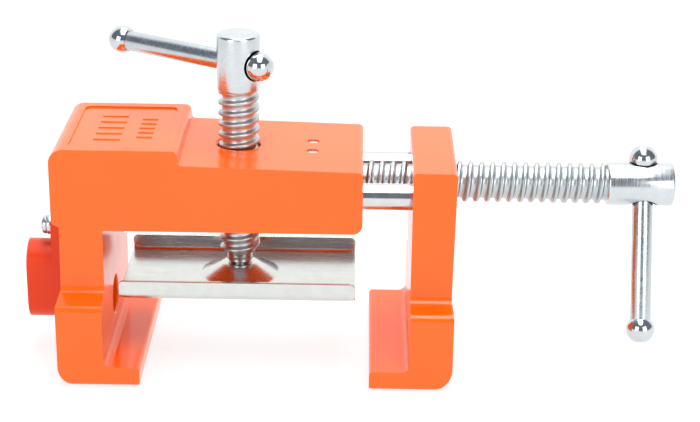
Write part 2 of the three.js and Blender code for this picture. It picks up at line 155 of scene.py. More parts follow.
def block(centre, size):
    """A box from its centre in metres and its three sizes in millimetres."""
    bpy.ops.object.select_all(action="DESELECT")
    bpy.ops.mesh.primitive_cube_add(size=MM, location=centre, scale=size)
    return place(bpy.context.object, Matrix())


def copy_of(piece, name):
    """A copy of a piece, with a mesh of its own."""
    take(piece)
    bpy.ops.object.duplicate(linked=False)
    twin = bpy.context.object
    twin.name = twin.data.name = name
    return twin


def draw(name, points, fill=False):
    """A line drawn as one vertex extruded from point to point, filled to a face if asked."""
    bpy.ops.object.select_all(action="DESELECT")
    bpy.ops.mesh.primitive_plane_add(size=MM, location=points[0])
    piece = bpy.context.object
    piece.name = piece.data.name = name
    edit(piece)
    bpy.ops.mesh.select_mode(type="VERT")
    bpy.ops.mesh.select_all(action="SELECT")
    bpy.ops.mesh.merge(type="CENTER")
    for here, there in zip(points, points[1:]):
        step = Vector(there) - Vector(here)
        bpy.ops.mesh.extrude_region_move(TRANSFORM_OT_translate={"value": step})
    bpy.ops.mesh.select_all(action="SELECT")
    if fill:
        bpy.ops.mesh.edge_face_add()
    done()
    return place(piece, Matrix())


def rounded(corners, arc_steps=8):
    """The points of a closed outline from (a, b, radius) corners, with an arc at each radius."""
    points = []
    for i, (a, b, radius) in enumerate(corners):
        corner = Vector((a, b))
        if radius == 0:
            points.append((a, b))
            continue
        back = (Vector(corners[i - 1][:2]) - corner).normalized()
        ahead = (Vector(corners[(i + 1) % len(corners)][:2]) - corner).normalized()
        half = back.angle(ahead) / 2
        start = corner + back * (radius / math.tan(half))
        centre = corner + (back + ahead).normalized() * (radius / math.sin(half))
        sweep = (math.pi - 2 * half) * (1 if back.x * ahead.y - back.y * ahead.x < 0 else -1)
        spoke = start - centre
        for k in range(arc_steps + 1):
            turn = Matrix.Rotation(sweep * k / arc_steps, 2)
            points.append(tuple(centre + turn @ spoke))
    return points


def fair(piece):
    """Merges doubles and turns every face outwards."""
    edit(piece)
    bpy.ops.mesh.remove_doubles(threshold=TINY)
    bpy.ops.mesh.select_all(action="SELECT")
    bpy.ops.mesh.normals_make_consistent(inside=False)
    done()
    return piece


def thicken(piece, step):
    """Extrudes a filled outline into a solid."""
    edit(piece)
    bpy.ops.mesh.extrude_region_move(TRANSFORM_OT_translate={"value": step})
    done()
    return fair(piece)


def through_y(name, corners, half):
    """A side outline of (x, z, radius) corners as a solid from -half to half across the feet."""
    points = [at(x, -half, z) for x, z in rounded(corners)]
    return thicken(draw(name, points, fill=True), (0, 2 * half * MM, 0))


def through_x(name, corners, low, high, arc_steps=8):
    """A front outline of (y, z, radius) corners as a solid from x = low to high."""
    points = [at(low, y, z) for y, z in rounded(corners, arc_steps)]
    return thicken(draw(name, points, fill=True), ((high - low) * MM, 0, 0))


def profile_line(name, profile, fill=False):
    """A (radius, height) profile in millimetres, drawn beside the Z axis."""
    return draw(name, [(radius * MM, 0, height * MM) for radius, height in profile], fill)


def spun(piece, steps, angle=FULL_TURN):
    """Spins a drawn profile about +Z."""
    edit(piece)
    bpy.ops.mesh.spin(steps=steps, angle=angle, center=(0, 0, 0), axis=(0, 0, 1))
    done()
    return fair(piece)


def turned(name, profile, steps=64):
    """A turned body about +Z from its (radius, height) profile in millimetres."""
    return spun(profile_line(name, profile), steps)


def rod_profile(radius, low, high, edge):
    """Half the outline of a plain cylinder whose ends are rounded over."""
    quarter = [t * math.pi / 8 for t in range(5)]
    arc = [(math.sin(angle), 1 - math.cos(angle)) for angle in quarter]
    bottom = [(radius - edge + edge * s, low + edge * c) for s, c in arc]
    top = [(radius - edge + edge * s, high - edge * c) for s, c in reversed(arc)]
    return [(0, low), *bottom, *top, (0, high)]


def washer_profile(inner, outer, low, high, ease):
    """The closed outline of a flat ring with its edges eased."""
    return [(inner, low + ease), (inner + ease, low), (outer - ease, low), (outer, low + ease),
            (outer, high - ease), (outer - ease, high), (inner + ease, high), (inner, high - ease),
            (inner, low + ease)]


def combine(piece, tool, operation="DIFFERENCE"):
    """Cuts, joins or meets a piece with a tool, which is used up."""
    take(piece)
    boolean = piece.modifiers.new("combine", "BOOLEAN")
    boolean.operation = operation
    boolean.solver = "MANIFOLD"
    boolean.object = tool
    bpy.ops.object.modifier_apply(modifier=boolean.name)
    bpy.data.objects.remove(tool)
    return piece


def round_edges(piece, width, segments=3, angle=35):
    """Rounds every edge sharper than the angle."""
    take(piece)
    bevel = piece.modifiers.new("round", "BEVEL")
    bevel.limit_method = "ANGLE"
    bevel.angle_limit = math.radians(angle)
    bevel.width = width * MM
    bevel.segments = segments
    bpy.ops.object.modifier_apply(modifier=bevel.name)
    return piece


def smooth(piece, angle=32, weighted=True):
    """Smooth shading up to the angle; weighted normals keep the large flat faces flat."""
    take(piece)
    bpy.ops.object.shade_smooth_by_angle(angle=math.radians(angle))
    if weighted:
        normals = piece.modifiers.new("normals", "WEIGHTED_NORMAL")
        normals.keep_sharp = True
        bpy.ops.object.modifier_apply(modifier=normals.name)
    return piece


LAY_ALONG_X = Matrix.Rotation(math.radians(90), 4, "Y")


def on_x_axis(piece, y, z):
    """Lays a body built about +Z along +X, on the line at y and z; its heights become x."""
    return place(piece, Matrix.Translation(at(0, y, z)) @ LAY_ALONG_X)


def on_z_axis(piece, x, y):
    """Stands a body built about +Z at x and y; its heights stay."""
    return place(piece, Matrix.Translation(at(x, y, 0)))


def cover(piece, material):
    """Gives a whole piece one material."""
    piece.data.materials.clear()
    piece.data.materials.append(material)


def fit(piece, body, slot, *nodes):
    """Puts a finished piece in place of its CAD nodes."""
    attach(piece, body)
    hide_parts(*nodes)


# ---- materials ----
def linear(code):
    """An sRGB hex colour as the linear colour that the shaders work in."""
    channels = [int(code[i:i + 2], 16) / 255 for i in (1, 3, 5)]
    return [c / 12.92 if c <= 0.04045 else ((c + 0.055) / 1.055) ** 2.4 for c in channels] + [1]


def feed(tree, node, *ordered, **named):
    """Fills a node's inputs, in order or by name, with values or other nodes' output sockets."""
    pairs = list(zip(node.inputs, ordered))
    pairs += [(node.inputs[key.replace("_", " ")], value) for key, value in named.items()]
    for socket, value in pairs:
        if isinstance(value, bpy.types.NodeSocket):
            tree.links.new(value, socket)
        else:
            socket.default_value = value


def add_node(tree, kind, *ordered, settings=None, **named):
    """Adds a shader node with its settings and its inputs."""
    node = tree.nodes.new("ShaderNode" + kind)
    for key, value in (settings or {}).items():
        setattr(node, key, value)
    feed(tree, node, *ordered, **named)
    return node


def new_material(name):
    """A material with its node tree, its shader and the socket of the piece's own coordinates."""
    material = bpy.data.materials.new(name)
    material.use_nodes = True
    tree = material.node_tree
    coordinates = add_node(tree, "TexCoord")
    return material, tree, tree.nodes["Principled BSDF"], coordinates.outputs["Object"]


def scale_of(size):
    """The texture scale whose marks come out size millimetres apart."""
    return round(1 / (size * MM))


# the middle of a noise texture's range, over which a surface's roughness is spread
NOISE_LOW, NOISE_HIGH = 0.3, 0.7

# how far apart the surfaces' marks are, in millimetres
COLOUR_DRIFT, ORANGE_PEEL, CASTING_SAG, PLATE_BLOTCH = 22.2, 1.429, 6.25, 3.85
# A finish's marks along x, y and z. Real turning marks and sheet grain are nearer 0.1 mm apart,
# which is too fine to show, so they are drawn coarser.
TURNED_X = (0.25, 8.33, 8.33)  # close along x, long round the axis
TURNED_Z = (8.33, 8.33, 0.25)
GRAIN_X = (16.7, 0.4, 0.4)  # grain lines that run along x
PITTED = (1.111, 1.111, 1.111)  # no direction, as a tumbled or plated surface
POLISHED = (2, 2, 2)


def powder_coat(name, deep, light, roughness, gloss):
    """Powder coat baked on a casting: the eye gets an even colour that drifts slowly with the
    film's thickness, and highlights that waver with its orange peel and the sags under it."""
    material, tree, shader, position = new_material(name)
    drift = add_node(tree, "TexNoise", Vector=position, Scale=scale_of(COLOUR_DRIFT), Detail=2)
    colour = add_node(tree, "ValToRGB", Fac=drift.outputs["Fac"])
    for stop, code in zip(colour.color_ramp.elements, (deep, light)):
        stop.color = linear(code)
    peel = add_node(tree, "TexNoise", Vector=position, Scale=scale_of(ORANGE_PEEL), Detail=2)
    sag = add_node(tree, "TexNoise", Vector=position, Scale=scale_of(CASTING_SAG), Detail=3)
    sag_weight = 2.5
    height = add_node(tree, "Math", sag.outputs["Fac"], sag_weight, peel.outputs["Fac"],
                      settings={"operation": "MULTIPLY_ADD"})
    bump = add_node(tree, "Bump", Height=height.outputs[0], Strength=0.22, Distance=0.04 * MM)
    dullness = add_node(tree, "MapRange", Value=sag.outputs["Fac"], From_Min=NOISE_LOW,
                        From_Max=NOISE_HIGH, To_Min=roughness - 0.04, To_Max=roughness + 0.05)
    feed(tree, shader, Base_Color=colour.outputs["Color"], Normal=bump.outputs["Normal"],
         Roughness=dullness.outputs["Result"], Specular_IOR_Level=gloss)
    return material


def bright_metal(name, dark, bright, roughness, lay):
    """Steel, plated or bare: the eye gets reflections stretched by the fine marks that made the
    surface, slightly duller in blotches where the plate or the polish is thin. lay is how far apart
    the marks are along x, y and z."""
    material, tree, shader, position = new_material(name)
    blotch = add_node(tree, "TexNoise", Vector=position, Scale=scale_of(PLATE_BLOTCH), Detail=3)
    colour = add_node(tree, "ValToRGB", Fac=blotch.outputs["Fac"])
    for stop, code in zip(colour.color_ramp.elements, (dark, bright)):
        stop.color = linear(code)
    lie = add_node(tree, "Mapping", Vector=position, Scale=[scale_of(size) for size in lay])
    marks = add_node(tree, "TexNoise", Vector=lie.outputs["Vector"], Scale=1, Detail=3)
    dullness = add_node(tree, "MapRange", Value=marks.outputs["Fac"], From_Min=NOISE_LOW,
                        From_Max=NOISE_HIGH, To_Min=roughness - 0.05, To_Max=roughness + 0.09)
    bump = add_node(tree, "Bump", Height=marks.outputs["Fac"], Strength=0.12, Distance=0.01 * MM)
    feed(tree, shader, Metallic=1, Base_Color=colour.outputs["Color"],
         Roughness=dullness.outputs["Result"], Normal=bump.outputs["Normal"])
    return material


def make_materials():
    """Every finish of the clamp, by what it is used for."""
    nickel = "#C4CACD", "#D8DDDF"
    return {
        # sprayed and baked: saturated and glossy, with soft window-like highlights
        "orange": powder_coat("orange_powder_coat", "#F66008", "#FA660C", 0.14, 0.5),
        # the guide's thinner film: redder and nearly satin
        "red_orange": powder_coat("red_orange_powder_coat", "#DC3A06", "#E2410A", 0.3, 0.3),
        # lathe-turned, then nickel plated: highlights run along the part in narrow bands
        "turned_x": bright_metal("bright_nickel_turned_x", *nickel, 0.22, TURNED_X),
        "turned_z": bright_metal("bright_nickel_turned_z", *nickel, 0.22, TURNED_Z),
        # thread rolled before plating: greyer and duller, so that each turn reads
        "thread": bright_metal("zinc_plated_rolled_thread", "#B4BABC", "#CBD0D1", 0.33, PITTED),
        # painted shade: the drilled ball seats inside the bright hubs get a dark, matt metal that
        # stands for the shadow in the gap round each ball
        "bore": bright_metal("painted_shade_ball_seat", "#2E3236", "#4A4F54", 0.4, PITTED),
        # ground and polished rods: almost a mirror
        "rod": bright_metal("polished_plated_rod", "#C9CBCC", "#DDDEDF", 0.11, TURNED_X),
        # drawn bar: bright, with a slightly blurred reflection
        "bar": bright_metal("bright_nickel_drawn_bar", "#B9C0C4", "#CFD5D9", 0.24, PITTED),
        # pressed and tumbled balls: sharp small highlights
        "ball": bright_metal("bright_nickel_pressed_ball", "#C3C8CB", "#D7DBDE", 0.1, POLISHED),
        # rolled sheet, zinc plated: pale, faintly warm, streaked along its length
        "sheet": bright_metal("zinc_plated_sheet", "#CDD1CE", "#DDE0DC", 0.21, GRAIN_X),
        # ground and unplated: darker grey than the plated parts round it
        "tool": bright_metal("ground_tool_steel", "#7D8083", "#9A9DA0", 0.25, TURNED_X),
    }


# ---- castings ----
def front_outline(half, ledge_top, ledge_bottom, top):
    """The foot that narrows over a ledge to the leg above it, seen along x, as (y, z, radius)."""
    right = [(FOOT_HALF, 0, 1.4), (FOOT_HALF, ledge_bottom, 2.2), (half, ledge_top, 2.4),
             (half, top, 0)]
    left = [(-y, z, radius) for y, z, radius in reversed(right)]
    return right + left


def bored(piece, radius, low, high, y, z, flare=0.5):
    """Drills a hole along x whose mouth at high is lightly countersunk."""
    out = high + 2
    drill = turned("drill", [(0, low), (radius, low), (radius, high - flare), (radius + flare, high),
                             (radius + flare, out), (0, out)])
    combine(piece, on_x_axis(drill, y, z))


def make_body(materials):
    """The C frame: its side outline met with its front outline, rounded over, then bored."""
    side = [  # (x, z, radius) of each corner, from the toe up and round
        (FIXED_TOE, 0, 1.2), (FIXED_TOE, TOE_TOP, 1.2), (LEG_INNER, TOE_TOP, 2.3),
        (LEG_INNER, BEAM_BOTTOM, 0.9), (BEAM_END, BEAM_BOTTOM, 2.8), (BEAM_END, BEAM_TOP_AT_END, 1.3),
        (HEAD_RIGHT + 0.6, BEAM_TOP_AT_HEAD, 0.9), (HEAD_RIGHT, HEAD_TOP, 1.8),
        (HEAD_OUTER, HEAD_TOP, 4),
        (HEAD_OUTER, HEAD_BOTTOM, 1.1), (LEG_OUTER, HEAD_BOTTOM - 0.9, 0.5),
        (LEG_OUTER - 0.3, BODY_LEDGE_TOP, 1.5), (FOOT_OUTER, BODY_LEDGE_BOTTOM, 1.5),
        (FOOT_OUTER, 0, 5.5),
    ]
    body = through_y("body_casting", list(reversed(side)), FOOT_HALF)
    front = front_outline(BEAM_HALF, BODY_LEDGE_TOP, BODY_LEDGE_BOTTOM, HEAD_TOP + 1)
    combine(body, through_x("front", front, HEAD_OUTER - 1, BEAM_END + 1), "INTERSECT")
    fair(body)
    round_edges(body, EDGE, 4)
    under, hole, mouth = BEAM_BOTTOM - 1, MAJOR + CLEAR, MAJOR + 1.2
    press_hole = turned("drill", [
        (0, under), (MAJOR + 0.8, under), (hole, BEAM_BOTTOM + 0.4), (hole, BEAM_TOP_AT_HEAD - 0.9),
        (mouth, BEAM_TOP_AT_HEAD), (mouth, ABOVE_HEAD), (0, ABOVE_HEAD),
    ])
    combine(body, on_z_axis(press_hole, 0, 0))
    bored(body, ROOT + CLEAR, SCREW_BORE_END, BEAM_END, 0, SCREW_Z)
    for y in (ROD_Y, -ROD_Y):
        bored(body, ROD_RADIUS + ROD_CLEAR, ROD_BORE_END, BEAM_END, y, SCREW_Z, 0.3)
    seat = pin_low.z - CLEAR
    for y in (PIN_Y, -PIN_Y):
        hole = turned("drill", [(0, seat), (PIN_BORE_RADIUS, seat), (PIN_BORE_RADIUS, ABOVE_BEAM),
                                (0, ABOVE_BEAM)], 32)
        combine(body, on_z_axis(hole, GROOVE_X, y))
    bored(body, DRILL_RADIUS, FOOT_OUTER - 1, LEG_INNER, 0, DRILL_Z, 0.4)
    bored(body, PIVOT_BORE_RADIUS, LEG_OUTER - 2, PIVOT_BORE_END, 0, PIVOT_Z, 0)
    make_panel(body)
    smooth(body)
    cover(body, materials["orange"])
    return body


def make_panel(body):
    """The shallow panel in the head's top, with plain ribs standing in it."""
    panel_low, panel_high, half, radius = -46.4, -19.2, 18.4, 2.2
    bottom = HEAD_TOP - 0.45
    corners = [(panel_low, -half, radius), (panel_high, -half, radius), (panel_high, half, radius),
               (panel_low, half, radius)]
    points = [at(x, y, bottom) for x, y in rounded(corners, 6)]
    cutter = thicken(draw("panel", points, fill=True), (0, 0, 2 * MM))
    ribs, rib_width, rib_depth = 5, 1.3, 0.6
    for x, length, spacing in ((-36.5, 7.5, 5.2), (-26.2, 4.5, 4.0)):
        for i in range(ribs):
            y = (i - (ribs - 1) / 2) * spacing
            rib = block(at(x, y, bottom), (length, rib_width, rib_depth))
            combine(cutter, round_edges(rib, 0.2, 2))
    combine(body, cutter)


def make_jaw(materials):
    """The sliding jaw, made as the frame is, with the screw's nut hole and the rods' sockets."""
    side = [  # (x, z, radius) of each corner, from the toe round the foot
        (JAW_TOE, 0, 1.2), (JAW_FOOT, 0, 6.5), (JAW_FOOT, JAW_LEDGE_BOTTOM, 1.5),
        (JAW_WAIST, JAW_LEDGE_TOP, 1.2), (JAW_OUTER, JAW_TOP, 1.2), (JAW_INNER, JAW_TOP, 1.2),
        (JAW_INNER, JAW_TOE_TOP, 2.2), (JAW_TOE, JAW_TOE_TOP, 1.2),
    ]
    jaw = through_y("jaw_casting", side, FOOT_HALF)
    front = front_outline(JAW_HALF, JAW_LEDGE_TOP, JAW_LEDGE_BOTTOM, JAW_TOP + 1)
    combine(jaw, through_x("front", front, JAW_TOE - 1, JAW_OUTER + 1), "INTERSECT")
    fair(jaw)
    round_edges(jaw, EDGE, 4)
    before, after, hole, mouth = JAW_INNER - 1, JAW_OUTER + 1, MAJOR + 0.25, MAJOR + 1.1
    nut = turned("drill", [(0, before), (mouth, before), (hole, JAW_INNER + 0.6),
                           (hole, JAW_OUTER - 0.6), (mouth, after), (0, after)])
    combine(jaw, on_x_axis(nut, 0, SCREW_Z))
    for y in (ROD_Y, -ROD_Y):
        socket = turned("drill", [(0, before), (JAW_SOCKET_RADIUS, before),
                                  (JAW_SOCKET_RADIUS, JAW_SOCKET_END), (0, JAW_SOCKET_END)])
        combine(jaw, on_x_axis(socket, y, SCREW_Z))
    smooth(jaw)
    cover(jaw, materials["orange"])
    return jaw


# ---- screws and handles ----
def thread_ridge(name, low, high, hand, steps=48):
    """A rolled thread about +Z: one pitch of its rounded outline, wound up by a Screw modifier, then
    cut off square at both ends and capped. hand is 1 for a right-hand thread and -1 for a left."""
    start = math.floor(low / PITCH) - 1
    half_root, half_crest = 0.2, 0.1  # half of the flat of the root and of the crest, in pitches
    ramp = [(k / 8, (1 - math.cos(math.pi * k / 8)) / 2) for k in range(9)]
    width = 0.5 - half_root - half_crest
    rise = [(half_root + width * t, ROOT + (MAJOR - ROOT) * s) for t, s in ramp]
    fall = [(1 - along, radius) for along, radius in reversed(rise)]
    outline = [(0, ROOT), *rise, *fall, (1, ROOT)]
    ridge = profile_line(name, [(radius, (start + along) * PITCH) for along, radius in outline])
    winding = ridge.modifiers.new("winding", "SCREW")
    winding.axis = "Z"
    winding.angle = hand * FULL_TURN
    winding.screw_offset = PITCH * MM
    winding.iterations = math.ceil((high - start * PITCH) / PITCH) + 1
    winding.steps = winding.render_steps = steps
    winding.use_merge_vertices = True
    winding.merge_threshold = TINY
    bpy.ops.object.modifier_apply(modifier=winding.name)
    fair(ridge)
    for height, up in ((low - 1, False), (high + 1, True)):
        edit(ridge)
        bpy.ops.mesh.bisect(plane_co=(0, 0, height * MM), plane_no=(0, 0, 1), use_fill=True,
                            clear_outer=up, clear_inner=not up, threshold=TINY / 10)
        done()
    return fair(ridge)


def lead_in(ridge, low, high):
    """Chamfers a thread's free end at low and ends it square at high, inside the hub."""
    inner, outer = ROOT - 0.1, MAJOR + 0.1
    lead = MAJOR - ROOT + 0.2
    envelope = turned("lead", [(0, low), (inner, low), (outer, low + lead), (outer, high), (0, high)])
    return combine(ridge, envelope, "INTERSECT")


def turn_from_z(direction):
    """The turn that lays +Z along a direction."""
    return Vector((0, 0, 1)).rotation_difference(direction).to_matrix().to_4x4()


def seat_cutter(direction):
    """The cross hole for a sliding bar with a round ball seat at each mouth, about the origin."""
    radius, reach = BAR_RADIUS + BAR_CLEAR, 9
    hole = turned("hole", [(0, -reach), (radius, -reach), (radius, reach), (0, reach)], 48)
    for side in (-1, 1):
        bpy.ops.object.select_all(action="DESELECT")
        bpy.ops.mesh.primitive_uv_sphere_add(segments=48, ring_count=24,
                                             radius=(BALL_RADIUS + SEAT_GAP) * MM,
                                             location=(0, 0, side * BAR_SEAT * MM))
        combine(hole, place(bpy.context.object, Matrix()), "UNION")
    return place(hole, turn_from_z(direction))


def finish_screw(screw, finishes, on_thread, off_axis, from_bar):
    """Gives a screw its turned finish, its thread's, and the dark metal of painted shade in its ball
    seats, in that order. The thread is where on_thread accepts a face's middle, and the ball seats are
    inside the hub and near the bar. off_axis and from_bar give a middle's distance from the hub's axis,
    and from the bar along it."""
    TURNED, THREAD, SEAT = range(3)
    screw.data.materials.clear()
    for finish in finishes:
        screw.data.materials.append(finish)
    inside, near = HUB_RADIUS - 0.1, BALL_RADIUS + SEAT_GAP + 0.1
    for face in screw.data.polygons:
        middle = face.center / MM
        if on_thread(middle):
            face.material_index = THREAD
        # the ball seats take the dark metal that paints the shade in the gap round each ball
        elif off_axis(middle) < inside and from_bar(middle) < near:
            face.material_index = SEAT
        else:
            face.material_index = TURNED
    return screw


def make_clamp_screw(materials):
    """The left-hand screw of the jaw, with its hub and the grooved journal that turns in the beam."""
    low, high = BEAM_END + CLEAR, HUB_START + IN_HUB
    screw = thread_ridge("main_screw", low, high, -1)
    lead_in(screw, low, high)
    tip, neck_end = 10, BEAM_END + 0.8
    groove_low, groove_high = GROOVE_X - GROOVE_HALF, GROOVE_X + GROOVE_HALF
    journal = turned("journal", [
        (0, tip), (ROOT - 0.5, tip), (ROOT, tip + 0.5), (ROOT, groove_low), (GROOVE_RADIUS, groove_low),
        (GROOVE_RADIUS, groove_high), (ROOT, groove_high), (ROOT, BEAM_END - 1),
        (OVER_ROOT, BEAM_END - 0.9), (OVER_ROOT, neck_end), (0, neck_end),
    ])
    combine(screw, journal, "UNION")
    combine(screw, turned("hub", rod_profile(HUB_RADIUS, HUB_START, HUB_END, HUB_EASE)), "UNION")
    on_x_axis(screw, 0, SCREW_Z)
    cutter = seat_cutter(CLAMP_BAR_WAY)
    combine(screw, place(cutter, Matrix.Translation(at(CLAMP_BAR_X, 0, SCREW_Z))))
    smooth(screw, 40, weighted=False)
    return finish_screw(screw, [materials[finish] for finish in ("turned_x", "thread", "bore")],
                        lambda v: BEAM_END - 1 < v.x - AXIS_X < HUB_START - 0.05,
                        lambda v: math.hypot(v.y, v.z - SCREW_Z),
                        lambda v: abs(v.x - AXIS_X - CLAMP_BAR_X))


def make_press_screw(materials):
    """The right-hand screw of the plate, with its hub and the stem that the plate hangs on."""
    low, high = PRESS_THREAD_LOW, PRESS_HUB_START + IN_HUB
    screw = thread_ridge("press_spindle_screw", low, high, 1)
    lead_in(screw, low, high)
    stem_radius, groove, neck, neck_end = 2.6, 2.05, 3.8, PRESS_THREAD_LOW + 0.6
    stem = turned("stem", [
        (0, PRESS_TIP), (2.2, PRESS_TIP), (stem_radius, PRESS_TIP + 0.4), (stem_radius, RING_LOW),
        (groove, RING_LOW), (groove, RING_LOW + 1), (stem_radius, RING_LOW + 1),
        (stem_radius, SHOULDER), (2.9, SHOULDER + 0.05), (3.5, SHOULDER + 0.3),
        (neck, SHOULDER + 0.8), (neck, neck_end), (0, neck_end),
    ])
    combine(screw, stem, "UNION")
    hub = rod_profile(HUB_RADIUS - 0.05, PRESS_HUB_START, PRESS_TOP, HUB_EASE)
    combine(screw, turned("hub", hub), "UNION")
    cutter = seat_cutter(PRESS_BAR_WAY)
    combine(screw, place(cutter, Matrix.Translation((0, 0, PRESS_BAR_Z * MM))))
    on_z_axis(screw, 0, 0)
    smooth(screw, 40, weighted=False)
    return finish_screw(screw, [materials[finish] for finish in ("turned_z", "thread", "bore")],
                        lambda v: PRESS_THREAD_LOW - 1 < v.z < PRESS_HUB_START - 0.05,
                        lambda v: math.hypot(v.x - AXIS_X, v.y),
                        lambda v: abs(v.z - PRESS_BAR_Z))


def ball_profile(steps=20):
    """The outline of a ball end about +Z: a ball that its bar enters from below, flat on top."""
    neck = BAR_RADIUS + 0.05
    start, end = -math.acos(neck / BALL_RADIUS), math.asin(BALL_FLAT / BALL_RADIUS)
    angles = [start + (end - start) * k / steps for k in range(steps + 1)]
    arc = [(BALL_RADIUS * math.cos(angle), BALL_RADIUS * math.sin(angle)) for angle in angles]
    return [(0, -0.4), (neck, -0.4), *arc, (0, BALL_FLAT)]


def make_handles(materials):
    """The two sliding bars with a ball pressed on each end, each lying on its stop. The bar and the
    ball are turned once and copied."""
    half = BAR_SPAN / 2
    reach = half - 0.7
    bar = turned("bar", rod_profile(BAR_RADIUS, -reach, reach, 0.4), 48)
    ball = turned("ball", ball_profile(), 48)
    at_top = Matrix.Translation((0, 0, half * MM))
    at_bottom = Matrix.Translation((0, 0, -half * MM)) @ Matrix.Rotation(math.pi, 4, "X")
    for prefix, seated, free, centre, way, body in (
            ("clamp_handle", "upper", "lower", at(CLAMP_BAR_X, 0, SCREW_Z), CLAMP_BAR_WAY,
             "main_handle"),
            ("press_handle", "near", "far", at(0, 0, PRESS_BAR_Z), PRESS_BAR_WAY, "press_handle")):
        middle = Matrix.Translation(centre + way * (BAR_SEAT - half) * MM) @ turn_from_z(way)
        for shape, end, there, finish, node in (
                (bar, "rod", Matrix(), "bar", "bar"),
                (ball, f"{seated}_end", at_top, "ball", f"ball_{seated}"),
                (ball, f"{free}_end", at_bottom, "ball", f"ball_{free}")):
            piece = place(place(copy_of(shape, f"{prefix}_{end}"), there), middle)
            smooth(piece, 40, weighted=False)
            cover(piece, materials[finish])
            fit(piece, body, "bright_plate", f"{prefix}_{node}")
    for pattern in (bar, ball):
        bpy.data.objects.remove(pattern)


# ---- press plate and its fastening ----
def make_plate(materials):
    """One pressed sheet: the cone is spun, bridged out to the plate's outline, the long edges are
    turned up, and the whole surface then gets the sheet's thickness."""
    thickness, bottom = 1.3, plate_low.z
    left, right = plate_low.x - AXIS_X, plate_high.x - AXIS_X
    half, top = plate_high.y, plate_high.z
    end_edges, side_edges = 12, 20  # the outline has as many edges as the cone, so that they bridge
    rise = [(2.9, 3.6), (4.2, 3.6), (4.9, 3.35), (5.6, 2.9), (10.2, 0.45), (11.0, 0.12), (12.0, 0)]
    cone = [(radius, bottom + height) for radius, height in rise]
    plate = spun(profile_line("pressed_plate", cone), 2 * (end_edges + side_edges))
    on_z_axis(plate, 0, 0)
    corners = [at(right, -half, bottom), at(right, half, bottom), at(left, half, bottom),
               at(left, -half, bottom)]
    sides = zip(corners, corners[1:] + corners[:1], (end_edges, side_edges) * 2)
    loop = [start.lerp(end, k / count) for start, end, count in sides for k in range(count)]
    rim = draw("rim", loop + [loop[0]])
    fair(rim)
    take(plate)
    rim.select_set(True)
    bpy.ops.object.join()
    # the cone's foot and the outline are the only edges this far out
    foot, middle = cone[-1][0] * MM, at(0, 0, 0).xy
    edit_where(plate, "EDGE", lambda v: (v.xy - middle).length > foot - TINY)
    bpy.ops.mesh.bridge_edge_loops()
    done()
    # the long edges are turned up into flanges
    low, upwards = bottom * MM, (0, 0, (top - bottom) * MM)
    for side in (-half * MM, half * MM):
        edit_where(plate, "EDGE", lambda v: abs(v.y - side) < TINY and v.z - low < TINY)
        bpy.ops.mesh.extrude_region_move(TRANSFORM_OT_translate={"value": upwards})
        done()
    fair(plate)
    round_edges(plate, 2.0, 6, 60)
    # the flanges' upper end corners are sheared round
    ends, near = (at(left, 0, 0).x, at(right, 0, 0).x), 0.01 * MM
    edit_where(plate, "VERT",
               lambda v: v.z > top * MM - near and min(abs(v.x - x) for x in ends) < near)
    bpy.ops.mesh.bevel(offset=1.6 * MM, segments=6, affect="VERTICES")
    done()
    take(plate)
    wall = plate.modifiers.new("sheet", "SOLIDIFY")
    wall.thickness = thickness * MM
    wall.offset = -1
    bpy.ops.object.modifier_apply(modifier=wall.name)
    fair(plate)
    round_edges(plate, 0.25, 2, 50)
    smooth(plate)
    cover(plate, materials["sheet"])
    return plate


def make_washer_and_ring(materials):
    """The washer under the plate's cone and the open ring in the screw's groove that holds it up."""
    low, high = (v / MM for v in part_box("press_retaining_washer"))
    washer = turned("retaining_washer", washer_profile(2.9, 4.2, low.z, high.z, 0.15), 48)
    on_z_axis(washer, 0, 0)
    smooth(washer, 40, weighted=False)
    cover(washer, materials["turned_z"])
    fit(washer, "press_carrier", "bright_plate", "press_retaining_washer")
    low, high = (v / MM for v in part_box("press_retaining_ring"))
    inner, outer, opening = 2.25, 3.7, 0.6  # opening is half of the ring's gap, in radians
    section = [(inner, low.z), (outer, low.z), (outer, high.z), (inner, high.z)]
    ring = profile_line("retaining_ring", section, fill=True)
    place(ring, Matrix.Rotation(opening, 4, "Z"))
    spun(ring, 40, FULL_TURN - 2 * opening)
    on_z_axis(ring, 0, 0)
    round_edges(ring, 0.08, 2, 50)
    smooth(ring)
    cover(ring, materials["tool"])
    fit(ring, "press_spindle", "tool_steel", "press_retaining_ring")


# ---- guide rods and pins ----
def make_rods_and_pins(materials):
    """The two guide rods and the clamp screw's two pins, one of each turned and then copied."""
    ends = rod_low.x - AXIS_X, rod_high.x - AXIS_X
    front_rod = turned("guide_bar_front", rod_profile(ROD_RADIUS, *ends, 0.6))
    front_pin = turned("retaining_pin_front", rod_profile(1.6, pin_low.z, pin_high.z, 0.35), 32)
    rear_rod = copy_of(front_rod, "guide_bar_rear")
    rear_pin = copy_of(front_pin, "retaining_pin_rear")
    for name, side, rod, pin in (("front", -1, front_rod, front_pin),
                                 ("rear", 1, rear_rod, rear_pin)):
        on_x_axis(rod, side * abs(ROD_Y), SCREW_Z)
        on_z_axis(pin, GROOVE_X, side * abs(PIN_Y))
        smooth(rod, 40, weighted=False)
        smooth(pin, 40, weighted=False)
        cover(rod, materials["rod"])
        cover(pin, materials["turned_z"])
        fit(rod, "jaw", "bright_plate", f"guide_rod_{name}")
        fit(pin, "frame", "bright_plate", f"screw_retaining_pin_{name}")


# ---- drill guide ----
def stadium(half, low, high):
    """The corners of a strip with fully round ends, as (y, z, radius)."""
    radius = half - 0.01  # just short of half, so that the ends' arcs keep a flat between them
    return [(-half, low, radius), (half, low, radius), (half, high, radius), (-half, high, radius)]


